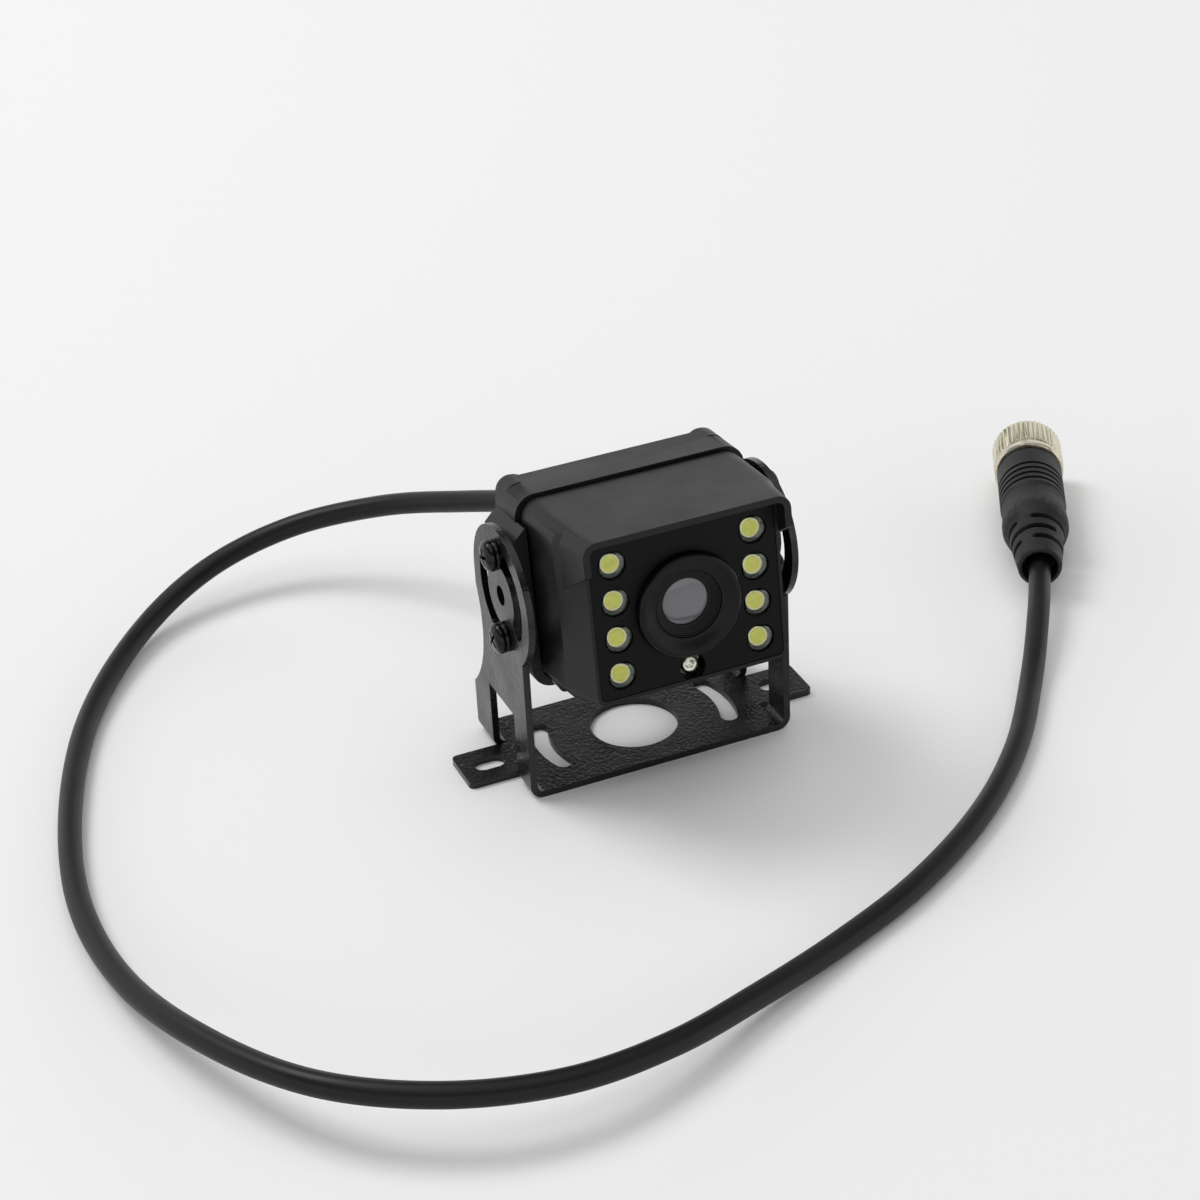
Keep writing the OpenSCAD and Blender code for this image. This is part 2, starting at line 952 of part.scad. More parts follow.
module coupling_nut() {
    r = nut_d / 2;
    color([0.78, 0.75, 0.66])
        on_plug_axis()
            translate([0, 0, nut_y0])
                difference() {
                    rotate_extrude()
                        polygon([
                            [shell_r + 0.06, 0.2],
                            [r - 0.5, 0.2],
                            [r - 0.1, 0.6],
                            [r - 0.1, 1.8],
                            [r - 0.5, 2.1],
                            [r - 0.5, 2.5],
                            [r, 2.8],
                            [r, nut_l - 0.5],
                            [r - 0.5, nut_l],
                            [6.6, nut_l],
                            [6.5, nut_l - 0.5],
                            [6.5, 5],
                            [7.3, 5],
                            [7.3, 1.8],
                            [shell_r + 0.06, 1.8]
                        ]);
                    for (i = [0 : nut_ribs - 1])
                        rotate([0, 0, i * 360 / nut_ribs])
                            translate([r, 0, 2.5])
                                rotate([0, 0, 45])
                                    translate([-0.28, -0.28, 0])
                                        cube([0.56, 0.56, nut_l]);
                }
}

bracket();
rear_shell();
front_shell();
housing_gasket();
face_panel();
lens_ring();
lens_seal();
lens_barrel();
lens_glass();
inner_lens();
lens_holder();
image_sensor();
sensor_board();
lamp_board();
lamp_cups();
lamp_phosphors();
lamp_domes();
light_sensor_base();
light_sensor_element();
light_sensor_dome();
board_spacers();
board_screws();
board_connector();
lead_wires();
rear_screws();
tilt_screws();
tilt_washers();
cable_gland();
cable_entry();
cable();
plug_sleeve();
plug_shell();
plug_seal();
contact_insert();
contacts();
coupling_nut();
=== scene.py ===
import math
import bpy
from mathutils import Matrix, Vector


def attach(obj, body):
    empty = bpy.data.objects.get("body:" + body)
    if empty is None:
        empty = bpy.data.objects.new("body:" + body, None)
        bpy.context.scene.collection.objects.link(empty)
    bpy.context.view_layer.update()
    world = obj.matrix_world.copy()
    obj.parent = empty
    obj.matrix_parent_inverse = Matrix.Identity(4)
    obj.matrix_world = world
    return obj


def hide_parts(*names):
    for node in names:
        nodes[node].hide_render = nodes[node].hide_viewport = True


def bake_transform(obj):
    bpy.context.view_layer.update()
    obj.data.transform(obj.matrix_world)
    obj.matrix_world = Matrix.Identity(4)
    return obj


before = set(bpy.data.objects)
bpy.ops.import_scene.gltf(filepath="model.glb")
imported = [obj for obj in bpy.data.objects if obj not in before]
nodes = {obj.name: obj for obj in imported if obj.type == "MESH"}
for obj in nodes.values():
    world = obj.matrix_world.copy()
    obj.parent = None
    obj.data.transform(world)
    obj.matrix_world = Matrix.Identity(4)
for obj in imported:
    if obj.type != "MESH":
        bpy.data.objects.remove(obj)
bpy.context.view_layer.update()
mm = 0.001
print("frame loaded:", len(nodes), "nodes")

# where the housing sits, as in the CAD: tilt axis height and place, and how far it looks up
housing = {"axisY": -5.4, "axisZ": 44.5, "lookUp": 6.5}
housingFrame = Matrix.Translation((0, housing["axisY"] * mm, housing["axisZ"] * mm)) @ Matrix.Rotation(
    math.radians(-housing["lookUp"]), 4, "X")

view = {
    "place": (-0.1977, -0.4811, 0.3426),
    "round": -21.7,   # degrees round the object from straight in front
    "above": 30.8,    # degrees above the horizon
    "roll": -3.2,
    "lens": 86.6,
}


def addCamera(v):
    turn, height, roll = (math.radians(v[k]) for k in ("round", "above", "roll"))
    back = Vector((math.sin(turn) * math.cos(height), -math.cos(turn) * math.cos(height), math.sin(height)))
    level = Vector((math.cos(turn), math.sin(turn), 0))
    upright = back.cross(level)
    across = level * math.cos(roll) + upright * math.sin(roll)
    up = upright * math.cos(roll) - level * math.sin(roll)
    data = bpy.data.cameras.new("camera")
    data.lens = v["lens"]
    data.clip_start = 0.01
    camera = bpy.data.objects.new("camera", data)
    bpy.context.scene.collection.objects.link(camera)
    camera.matrix_world = Matrix.Translation(v["place"]) @ Matrix((across, up, back)).transposed().to_4x4()
    bpy.context.scene.camera = camera


addCamera(view)


def deselectAll():
    if bpy.context.mode != "OBJECT":
        bpy.ops.object.mode_set(mode="OBJECT")
    bpy.ops.object.select_all(action="DESELECT")


def pick(piece):
    deselectAll()
    piece.select_set(True)
    bpy.context.view_layer.objects.active = piece


def applyAll(piece):
    pick(piece)
    for modifier in list(piece.modifiers):
        bpy.ops.object.modifier_apply(modifier=modifier.name)


def smooth(piece, angle=35):
    pick(piece)
    bpy.ops.object.shade_smooth_by_angle(angle=math.radians(angle))


def settle(piece, matrix=Matrix.Identity(4)):
    # puts the piece's place into its mesh, so the object itself is at the origin
    bpy.context.view_layer.update()
    piece.data.transform(matrix @ piece.matrix_world)
    piece.matrix_world = Matrix.Identity(4)
    if (matrix.to_3x3().determinant()) < 0:
        piece.data.flip_normals()


def easedCopy(node, name, edge=0.3, steps=2, angle=32, flat=1.0, shade=30):
    # a welded copy of a CAD node with its sharp edges rounded over
    mesh = nodes[node].data.copy()
    mesh.materials.clear()
    piece = bpy.data.objects.new(name, mesh)
    bpy.context.scene.collection.objects.link(piece)
    pick(piece)
    bpy.ops.object.mode_set(mode="EDIT")
    bpy.ops.mesh.select_all(action="SELECT")
    bpy.ops.mesh.remove_doubles(threshold=0.000004)
    bpy.ops.mesh.dissolve_limited(angle_limit=math.radians(flat))
    bpy.ops.object.mode_set(mode="OBJECT")
    bevel = piece.modifiers.new("edges", "BEVEL")
    bevel.width = edge * mm
    bevel.segments = steps
    bevel.limit_method = "ANGLE"
    bevel.angle_limit = math.radians(angle)
    bevel.harden_normals = True
    smooth(piece, shade)
    applyAll(piece)
    return piece


def turned(name, outline, sides=96):
    # a turned piece about Z: outline is (radius, height) in mm from one end round to the other
    deselectAll()
    (r, h) = outline[0]
    bpy.ops.mesh.primitive_circle_add(vertices=sides, radius=max(r, 0.001) * mm, location=(0, 0, h * mm))
    piece = bpy.context.object
    piece.name = piece.data.name = name
    bpy.ops.object.mode_set(mode="EDIT")
    bpy.ops.mesh.select_mode(type="VERT")
    bpy.ops.mesh.select_all(action="SELECT")
    for (r, h), (r2, h2) in zip(outline, outline[1:]):
        bpy.ops.mesh.extrude_region_move(TRANSFORM_OT_translate={"value": (0, 0, (h2 - h) * mm)})
        grow = max(r2, 0.001) / max(r, 0.001)
        bpy.ops.transform.resize(value=(grow, grow, 1), center_override=(0, 0, h2 * mm))
    bpy.ops.mesh.select_all(action="SELECT")
    bpy.ops.mesh.remove_doubles(threshold=0.000003)
    bpy.ops.mesh.normals_make_consistent(inside=False)
    bpy.ops.object.mode_set(mode="OBJECT")
    settle(piece)
    if len(piece.data.polygons) < sides * (len(outline) - 3):
        raise RuntimeError(name + " was not turned: " + str(len(piece.data.polygons)) + " faces")
    return piece


def bevelled(piece, width, steps=2, angle=30):
    bevel = piece.modifiers.new("edges", "BEVEL")
    bevel.width = width * mm
    bevel.segments = steps
    bevel.limit_method = "ANGLE"
    bevel.angle_limit = math.radians(angle)
    applyAll(piece)
    return piece


def copies(piece, places):
    # one modelled piece set at several places, each copy with its own mesh, joined as one object
    made = []
    for place in places:
        copy = bpy.data.objects.new(piece.name, piece.data.copy())
        bpy.context.scene.collection.objects.link(copy)
        settle(copy, place)
        made.append(copy)
    name = piece.name
    bpy.data.objects.remove(piece)
    deselectAll()
    for copy in made:
        copy.select_set(True)
    bpy.context.view_layer.objects.active = made[0]
    bpy.ops.object.join()
    made[0].name = name
    if not made[0].data.polygons:
        raise RuntimeError(name + " came out empty")
    return made[0]


def cutCross(piece, reach, width, top, depth, turn=0.0):
    # a Phillips recess: two tapered blades cut into the head from the top
    cutters = []
    for quarter in (0, 90):
        deselectAll()
        bpy.ops.mesh.primitive_cube_add(size=1, location=(0, 0, (top - depth / 2) * mm),
                                        scale=(2 * reach * mm, width * mm, depth * mm),
                                        rotation=(0, 0, math.radians(quarter + turn)))
        cutter = bpy.context.object
        bpy.ops.object.mode_set(mode="EDIT")
        bpy.ops.mesh.select_all(action="DESELECT")
        bpy.ops.object.mode_set(mode="OBJECT")
        for face in cutter.data.polygons:
            face.select = face.normal.z < -0.5
        bpy.ops.object.mode_set(mode="EDIT")
        bpy.ops.mesh.select_mode(type="FACE")
        bpy.ops.transform.resize(value=(0.45, 0.8, 1), center_override=(0, 0, 0))
        bpy.ops.object.mode_set(mode="OBJECT")
        settle(cutter)
        cutters.append(cutter)
        cut = piece.modifiers.new("recess", "BOOLEAN")
        cut.operation = "DIFFERENCE"
        cut.object = cutter
    applyAll(piece)
    for cutter in cutters:
        bpy.data.objects.remove(cutter)
    return piece


def finishPiece(piece, material, body, slot, *replaced):
    piece.data.materials.clear()
    piece.data.materials.append(material)
    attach(piece, body)
    if replaced:
        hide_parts(*replaced)
    return piece


# colours are written as sRGB hex and turned to linear here
def colour(text):
    values = [int(text[i:i + 2], 16) / 255 for i in (1, 3, 5)]
    return tuple(v / 12.92 if v < 0.04045 else ((v + 0.055) / 1.055) ** 2.4 for v in values) + (1,)


def addNode(material, kind, values=None, links=None, **settings):
    tree = material.node_tree
    node = tree.nodes.new(kind)
    for key, value in settings.items():
        setattr(node, key, value)
    for socket, value in (values or {}).items():
        node.inputs[socket].default_value = value
    for socket, source in (links or {}).items():
        tree.links.new(source, node.inputs[socket])
    return node


def newMaterial(name, values):
    material = bpy.data.materials.new(name)
    material.use_nodes = True
    material.node_tree.nodes.clear()
    shader = addNode(material, "ShaderNodeBsdfPrincipled", values)
    addNode(material, "ShaderNodeOutputMaterial", links={"Surface": shader.outputs["BSDF"]})
    return material, shader


def plain(name, values, grain=0.3, depth=0.002, tone=None, mottle=9, rough=None):
    # a moulded, cast or coated surface: a grain in the height, and a slow change of tone and gloss
    # grain and mottle are in millimetres across one bump or patch, depth is the bump's height in mm
    material, shader = newMaterial(name, values)
    place = addNode(material, "ShaderNodeTexCoord")
    noise = addNode(material, "ShaderNodeTexNoise", {"Scale": 1 / (grain * mm), "Detail": 3,
                                                     "Roughness": 0.6},
                    {"Vector": place.outputs["Object"]})
    bump = addNode(material, "ShaderNodeBump", {"Strength": 1, "Distance": depth * mm},
                   {"Height": noise.outputs["Fac"]})
    material.node_tree.links.new(bump.outputs["Normal"], shader.inputs["Normal"])
    slow = addNode(material, "ShaderNodeTexNoise", {"Scale": 1 / (mottle * mm), "Detail": 4},
                   {"Vector": place.outputs["Object"]})
    if tone:
        blend = addNode(material, "ShaderNodeValToRGB", links={"Fac": slow.outputs["Fac"]})
        blend.color_ramp.elements[0].position = 0.3
        blend.color_ramp.elements[0].color = colour(tone[0])
        blend.color_ramp.elements[1].position = 0.7
        blend.color_ramp.elements[1].color = colour(tone[1])
        material.node_tree.links.new(blend.outputs["Color"], shader.inputs["Base Color"])
    if rough:
        gloss = addNode(material, "ShaderNodeMapRange", {"From Min": 0.3, "From Max": 0.7,
                                                         "To Min": rough[0],
                                                         "To Max": rough[1]}, {"Value": slow.outputs["Fac"]})
        material.node_tree.links.new(gloss.outputs["Result"], shader.inputs["Roughness"])
    return material


# Black polyester powder coat on folded steel: glossy, with the orange peel of the melted powder
def powderCoat():
    material, shader = newMaterial("powderCoatBlack", {"Base Color": colour("#060607"),
                                                       "Specular IOR Level": 0.45})
    place = addNode(material, "ShaderNodeTexCoord")
    peel = addNode(material, "ShaderNodeTexNoise", {"Scale": 1 / (0.85 * mm), "Detail": 2,
                                                    "Roughness": 0.5},
                   {"Vector": place.outputs["Object"]})
    pits = addNode(material, "ShaderNodeTexVoronoi", {"Scale": 1 / (1.7 * mm), "Randomness": 1},
                   {"Vector": place.outputs["Object"]})
    pitShape = addNode(material, "ShaderNodeMapRange", {"From Min": 0.0, "From Max": 0.16, "To Min": -0.8,
                                                        "To Max": 0.0}, {"Value": pits.outputs["Distance"]})
    height = addNode(material, "ShaderNodeMath", links={0: peel.outputs["Fac"],
                                                        1: pitShape.outputs["Result"]},
                     operation="ADD")
    bump = addNode(material, "ShaderNodeBump", {"Strength": 1, "Distance": 0.11 * mm},
                   {"Height": height.outputs["Value"]})
    material.node_tree.links.new(bump.outputs["Normal"], shader.inputs["Normal"])
    slow = addNode(material, "ShaderNodeTexNoise", {"Scale": 1 / (7 * mm), "Detail": 3},
                   {"Vector": place.outputs["Object"]})
    gloss = addNode(material, "ShaderNodeMapRange", {"From Min": 0.3, "From Max": 0.7, "To Min": 0.2,
                                                     "To Max": 0.34}, {"Value": slow.outputs["Fac"]})
    material.node_tree.links.new(gloss.outputs["Result"], shader.inputs["Roughness"])
    return material


finishes = {
    # powder coat: glossy black broken up by orange peel and pits
    "powderCoat": powderCoat(),
    # satin paint: keeps the flat sides dark and gives the top a soft sheen
    "castPaint": plain(
        "satinPaintOnCasting",
        {"Base Color": colour("#0c0d0e"), "Roughness": 0.4, "Specular IOR Level": 0.27},
        0.4, 0.012, ("#0b0c0d", "#101112"), 8, (0.36, 0.44)),
    # grained ABS: a near-black face that takes no clear reflection
    "faceMoulding": plain(
        "grainedAbs",
        {"Base Color": colour("#050506"), "Roughness": 0.5, "Specular IOR Level": 0.14},
        0.28, 0.03, ("#050505", "#080809"), 6, (0.46, 0.56)),
    # satin ABS: a soft highlight round the lens ring
    "ringMoulding": plain(
        "satinAbs",
        {"Base Color": colour("#050506"), "Roughness": 0.33, "Specular IOR Level": 0.2},
        0.4, 0.004, ("#050505", "#080809"), 6, (0.28, 0.36)),
    # black anodising: a deep dark funnel round the lens
    "anodised": plain(
        "blackAnodisedAluminium",
        {"Base Color": colour("#070707"), "Roughness": 0.35, "Specular IOR Level": 0.2},
        0.2, 0.003),
    # matte nylon: dull black on the gland and inner mouldings
    "moulding": plain(
        "matteNylonBlack",
        {"Base Color": colour("#0a0a0b"), "Roughness": 0.6, "Specular IOR Level": 0.3},
        0.3, 0.01),
    # nitrile rubber: flat black with no shine
    "seal": plain(
        "nitrileRubber",
        {"Base Color": colour("#0c0c0c"), "Roughness": 0.7},
        0.3, 0.01),
    # PVC jacket: a thin bright line along a black cable
    "jacket": plain(
        "pvcCableJacket",
        {"Base Color": colour("#070708"), "Roughness": 0.36, "Specular IOR Level": 0.28},
        0.9, 0.012, ("#060607", "#0a0a0b"), 14, (0.38, 0.48)),
    # soft PVC overmould: slightly greyer and duller than the cable
    "sleeve": plain(
        "softPvcOvermould",
        {"Base Color": colour("#101114"), "Roughness": 0.5, "Specular IOR Level": 0.3},
        0.35, 0.012, ("#0e0f12", "#141518"), 7, (0.5, 0.62)),
    # black nickel: small sharp glints on the screw heads
    "blackScrew": plain(
        "blackNickelSteel",
        {"Base Color": colour("#2c2c2d"), "Metallic": 1.0, "Roughness": 0.2},
        0.4, 0.003, None, 3, (0.15, 0.26)),
    # satin nickel: warm champagne metal on the nut's ribs
    "nickel": plain(
        "satinNickelPlate",
        {"Base Color": colour("#cfc9b2"), "Metallic": 1.0, "Roughness": 0.3},
        0.3, 0.003, ("#c8c1a6", "#d6d1be"), 4, (0.24, 0.36)),
    # gold plate: bright yellow contacts inside the plug
    "gold": plain(
        "goldPlate",
        {"Base Color": colour("#e0b763"), "Metallic": 1.0, "Roughness": 0.25},
        0.3, 0.002),
    # zinc plate: cool grey metal on the inner screws
    "zinc": plain(
        "zincPlatedSteel",
        {"Base Color": colour("#b9bbbe"), "Metallic": 1.0, "Roughness": 0.35},
        0.3, 0.003),
    # brass: warm yellow spacers between the boards
    "brass": plain(
        "brassSpacer",
        {"Base Color": colour("#c8a860"), "Metallic": 1.0, "Roughness": 0.35},
        0.3, 0.003),
    # solder mask: glossy green boards
    "board": plain(
        "solderMaskGreen",
        {"Base Color": colour("#12522c"), "Roughness": 0.3},
        0.5, 0.005, ("#0f4a27", "#165a31"), 3, (0.25, 0.35)),
    # nylon: the pale connector body
    "ivory": plain(
        "nylonIvory",
        {"Base Color": colour("#e2dcc8"), "Roughness": 0.45},
        0.3, 0.004),
    # phosphor: a yellow-green disc, kept bright under its resin by a painted glow
    "phosphor": plain(
        "ledPhosphorPaintedGlow",
        {
            "Base Color": colour("#c8cb40"),
            "Roughness": 0.6,
            # painted glow: this emission stands in for the light the phosphor would catch through the resin;
            # the lamp is not lit
            "Emission Color": colour("#b9bd30"),
            "Emission Strength": 0.25,
        },
        0.2, 0.01, ("#bfc238", "#d3d658"), 1.2),
    # moulded cup: a cream rim round the phosphor, with a faint painted glow
    "lampCup": plain(
        "ledReflectorCupPaintedGlow",
        {
            "Base Color": colour("#e9e8c0"),
            "Roughness": 0.35,
            # painted glow: this faint emission keeps the unlit cup bright behind its resin
            "Emission Color": colour("#e9e8c0"),
            "Emission Strength": 0.12,
        },
        0.3, 0.003),
    # tin: a bright metal ring and posts in the light sensor
    "sensorMetal": plain(
        "polishedTin",
        {"Base Color": colour("#e6e6e2"), "Metallic": 1.0, "Roughness": 0.15},
        0.2, 0.002),
    # PVC insulation: red wires
    "wire": plain(
        "pvcWireInsulation",
        {"Base Color": colour("#a01515"), "Roughness": 0.35},
        0.3, 0.003),
    # clear epoxy: a dark glassy ring round each disc, with small glints
    "clearDome": plain(
        "clearEpoxy",
        {"Base Color": colour("#fafaf2"), "Roughness": 0.03, "Transmission Weight": 1.0, "IOR": 1.5},
        1.2, 0.0015),
    # coated glass: a flat mid-grey disc whose grey base colour is a painted reflection of the bright room,
    # with a soft real reflection from the coat
    "lensGlassPaintedReflection": plain(
        "coatedLensGlassPaintedReflection",
        {
            # painted reflection: the mid-grey base colour stands in for the bright room mirrored in the glass
            "Base Color": colour("#5d5e61"),
            "Roughness": 0.12,
            "Coat Weight": 0.6,
            "Coat Roughness": 0.04,
            "IOR": 1.6,
        },
        3, 0.0008),
    # inner glass: dark blue-grey depth behind the front lens
    "innerGlass": plain(
        "innerLensGlass",
        {"Base Color": colour("#1c2028"), "Roughness": 0.05, "IOR": 1.6},
        3, 0.0008),
    # sensor cover: a smooth dark window
    "sensorWindow": plain(
        "sensorWindow",
        {"Base Color": colour("#202830"), "Roughness": 0.1},
        3, 0.0008),
}
print("materials made:", len(finishes))

# the lead's route, in millimetres, as it lies: off the housing, down to the left, round the front to the plug
lead = {
    "diameter": 5.0,
    "glandEnd": 24.0,
    "glandZ": -2.0,
    "plugPlace": (104, 6, 8.3),
    "plugTurn": -27.5,
    "route": [
        (-1, 33, 37.5), (-5, 48, 33.5), (-13, 65, 27.5), (-26, 84, 20.5), (-45, 96, 14), (-66, 95, 9),
        (-86, 83, 4.2), (-105, 57, 2.6), (-118, 24, 2.6), (-125, -10, 2.8), (-124, -42, 5), (-116, -71, 9),
        (-103, -94, 11.7), (-84, -107.5, 12), (-62, -112, 10.3), (-40, -108, 7.5), (-18, -99, 4.5),
        (4, -89.5, 2.6), (26, -79.5, 2.6), (48, -65, 2.6), (67, -47, 2.6), (83, -26, 3), (95, -8.5, 6.5)],
    "steps": 12,
    "raisedEnd": "object",
}
plugFrame = Matrix.Translation([c * mm for c in lead["plugPlace"]]) @ Matrix.Rotation(
    math.radians(lead["plugTurn"]), 4, "Z") @ Matrix.Rotation(math.radians(-90), 4, "X")


def inHousing(x, y, z):
    return housingFrame @ Vector((x * mm, y * mm, z * mm))


def leadLine():
    # a smooth curve through the route, as the CAD tube follows it
    points = [inHousing(0, lead["glandEnd"] - 14, lead["glandZ"]), inHousing(0, lead["glandEnd"],
                                                                             lead["glandZ"])]
    points += [Vector(p) * mm for p in lead["route"]]
    points += [plugFrame @ Vector((0, 0, y * mm)) for y in (1, 8, 20)]
    line = []
    for i in range(1, len(points) - 2):
        a, b, c, d = points[i - 1:i + 3]
        for s in range(lead["steps"]):
            t = s / lead["steps"]
            line.append(0.5 * (2 * b + (c - a) * t + (2 * a - 5 * b + 4 * c - d) * t * t
                               + (3 * b - a - 3 * c + d) * t ** 3))
    return line + [points[-2]]


def tubeAlong(name, line):
    curve = bpy.data.curves.new(name, "CURVE")
    curve.dimensions = "3D"
    spline = curve.splines.new("POLY")
    spline.points.add(len(line) - 1)
    for point, place in zip(spline.points, line):
        point.co = (*place, 1)
    curve.bevel_depth = lead["diameter"] / 2 * mm
    curve.bevel_resolution = 5
    curve.use_fill_caps = True
    piece = bpy.data.objects.new(name, curve)
    bpy.context.scene.collection.objects.link(piece)
    pick(piece)
    bpy.ops.object.convert(target="MESH")
    piece = bpy.context.object
    bpy.ops.object.mode_set(mode="EDIT")
    bpy.ops.mesh.select_mode(type="VERT")
    bpy.ops.mesh.select_all(action="SELECT")
    bpy.ops.mesh.remove_doubles(threshold=0.000002)
    bpy.ops.mesh.normals_make_consistent(inside=False)
    bpy.ops.object.mode_set(mode="OBJECT")
    smooth(piece, 50)
    piece.data.materials.clear()
    piece.data.materials.append(finishes["jacket"])
    return piece


def lengthOf(line):
    return sum((b - a).length for a, b in zip(line, line[1:]))


def addLead():
    # the part off the housing, up to the lead's furthest point back, is set in place on its own; the rest
    # lies still and goes with the bracket
    line = leadLine()
    split = max(range(len(line)), key=lambda i: line[i].y)
    raised, lying = line[:split + 1], line[split:]
    top = tubeAlong("leadRaised", raised)
    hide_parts("cable")
    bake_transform(top)
    rest = tubeAlong("leadLying", lying)
    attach(rest, "bracket")
    print("lead:", round(lengthOf(line), 3), "m, raised", round(lengthOf(raised), 3), "m")


# the folded bracket: laser-cut edges, rounded a little under the coat
bracket = {"edge": 0.3, "steps": 2}
finishPiece(easedCopy("bracket", "bracketSheet", bracket["edge"], bracket["steps"]), finishes["powderCoat"],
            "bracket", "powder_coated_steel", "bracket")

# the two halves of the housing, with crisp chamfers and small cast radii
shells = {"edge": 0.35, "steps": 2, "angle": 14, "shade": 12}
for node, name in (("front_shell", "frontShellCast"), ("rear_shell", "rearShellCast")):
    shell = easedCopy(node, name, shells["edge"], shells["steps"], shells["angle"], 0.4, shells["shade"])
    finishPiece(shell, finishes["castPaint"], "housing", "black_housing", node)
finishPiece(easedCopy("face_panel", "facePanelMoulded", 0.12), finishes["faceMoulding"], "housing",
            "face_plastic", "face_panel")
print("bracket and housing made")


def facing(x, y, z):
    # a place on the housing for a piece drawn along Z, its top towards the viewer
    return housingFrame @ Matrix.Translation((x * mm, y * mm, z * mm)) @ Matrix.Rotation(math.radians(90),
                                                                                         4, "X")


lens = {"z": 0.5, "ringBack": -23.4, "barrelBack": -9.6, "glassBack": -24.9}


def addLens():
    ring = turned("lensRing", [(7.2, 0), (11.1, 0), (11.1, 3.9), (11, 4.2), (10.8, 4.45), (10.5, 4.6),
                               (10.1, 4.6),
                               (9.8, 4.52), (8.6, 3.85), (7.75, 3.4), (7.5, 3.3), (7.2, 3.3), (7.2,
                                                                                               0)], 128)
    settle(ring, facing(0, lens["ringBack"], lens["z"]))
    smooth(ring, 28)
    finishPiece(ring, finishes["ringMoulding"], "housing", "face_plastic", "lens_ring")
    # the barrel's front funnel carries fine light-trap steps
    outline = [(4, 0), (5.9, 0), (5.9, 12.6), (7.1, 12.6), (7.1, 16.8), (7, 16.9), (6.75, 16.9)]
    for step in range(5):
        r = 6.7 - step * 0.24
        h = 16.75 - step * 0.29
        outline += [(r, h), (r, h - 0.22)]
    outline += [(5.45, 15.3), (5.05, 15.3), (5.05, 13.6), (4, 13.6), (4, 0)]
    barrel = turned("lensBarrel", outline, 128)
    settle(barrel, facing(0, lens["barrelBack"], lens["z"]))
    smooth(barrel, 20)
    finishPiece(barrel, finishes["anodised"], "housing", "black_anodised", "lens_barrel")
    # front element: a shallow dome with a ground, slightly paler rim
    glass = turned("lensFront", [(0, -1.2), (4.7, -1.2), (5, -0.9), (5, -0.15), (4.85, 0.02), (4.6, 0.1),
                                 (4.0, 0.22),
                                 (3.2, 0.36), (2.4, 0.46), (1.6, 0.53), (0.8, 0.57), (0, 0.58)], 128)
    settle(glass, facing(0, lens["glassBack"] + 0.1, lens["z"]))
    smooth(glass, 30)
    finishPiece(glass, finishes["lensGlassPaintedReflection"], "housing", "lens_glass", "lens_glass")


lamps = {"x": 15.2, "low": -11.4, "pitch": 8.0, "board": -19.5, "sensorZ": -13.7}


def addLamps():
    places = [facing(side * lamps["x"], lamps["board"], lamps["low"] + row * lamps["pitch"])
              for side in (-1, 1) for row in range(4)]
    body = turned("lampBodies", [(0, 4.95), (1.85, 4.95), (1.85, 0.02), (2.9, 0.02), (2.9, 5.8), (2.84, 6),
                                 (2.66, 6.22),
                                 (2.3, 6.42), (1.8, 6.58), (1.2, 6.7), (0.6, 6.76), (0, 6.78)], 48)
    smooth(body, 35)
    finishPiece(copies(body, places), finishes["clearDome"], "housing", "clear_dome", "lamp_domes")
    cup = turned("lampCups", [(0, 0), (1.7, 0), (1.8, 0.12), (1.8, 4.8), (1.76, 4.88), (1.66, 4.9), (1.54,
                                                                                                     4.86),
                              (1.5, 4.5), (0, 4.5)], 48)
    smooth(cup, 35)
    finishPiece(copies(cup, places), finishes["lampCup"], "housing", "lamp_body", "lamp_cups")
    disc = turned("lampPhosphor", [(0, 4.51), (1.46, 4.51), (1.48, 4.58), (1.48, 4.7), (1.4, 4.75), (1.1,
                                                                                                     4.78),
                                   (0.6, 4.79), (0, 4.8)], 48)
    smooth(disc, 35)
    finishPiece(copies(disc, places), finishes["phosphor"], "housing", "phosphor", "lamp_phosphors")


def addLightSensor():
    place = facing(0, lamps["board"] - 1.2, lamps["sensorZ"])
    dome = [(0, 3.4), (1.2, 3.4), (1.2, 0), (2.4, 0), (2.4, 2.7)]
    dome += [(2.4 * math.cos(a), 2.7 + 2.4 * math.sin(a)) for a in (math.radians(10 * k) for k in range(1,
                                                                                                        9))]
    clear = turned("lightSensorDome", dome + [(0, 5.1)], 48)
    settle(clear, place)
    smooth(clear, 35)
    finishPiece(clear, finishes["clearDome"], "housing", "clear_dome", "light_sensor_dome")
    cup = turned("lightSensorCup", [(0, 2.6), (0.9, 2.6), (1.1, 2.75), (1.1, 3.22), (1.02, 3.3), (0.7, 3.3),
                                    (0.58, 3.1), (0.5, 2.9), (0, 2.9)], 32)
    posts = turned("posts", [(0, 0), (0.25, 0.05), (0.25, 2.5), (0.2, 2.62), (0, 2.64)], 16)
    posts = copies(posts, [Matrix.Translation((x * mm, 0, 0)) for x in (-0.75, 0.75)])
    deselectAll()
    posts.select_set(True)
    cup.select_set(True)
    bpy.context.view_layer.objects.active = cup
    bpy.ops.object.join()
    settle(cup, place)
    smooth(cup, 35)
    finishPiece(cup, finishes["sensorMetal"], "housing", "sensor_metal", "light_sensor_element")


addLens()
addLamps()
addLightSensor()
print("lens, lamps and light sensor made")

tilt = {"x": 30.9, "slot": 9.2, "tip": 24.55}


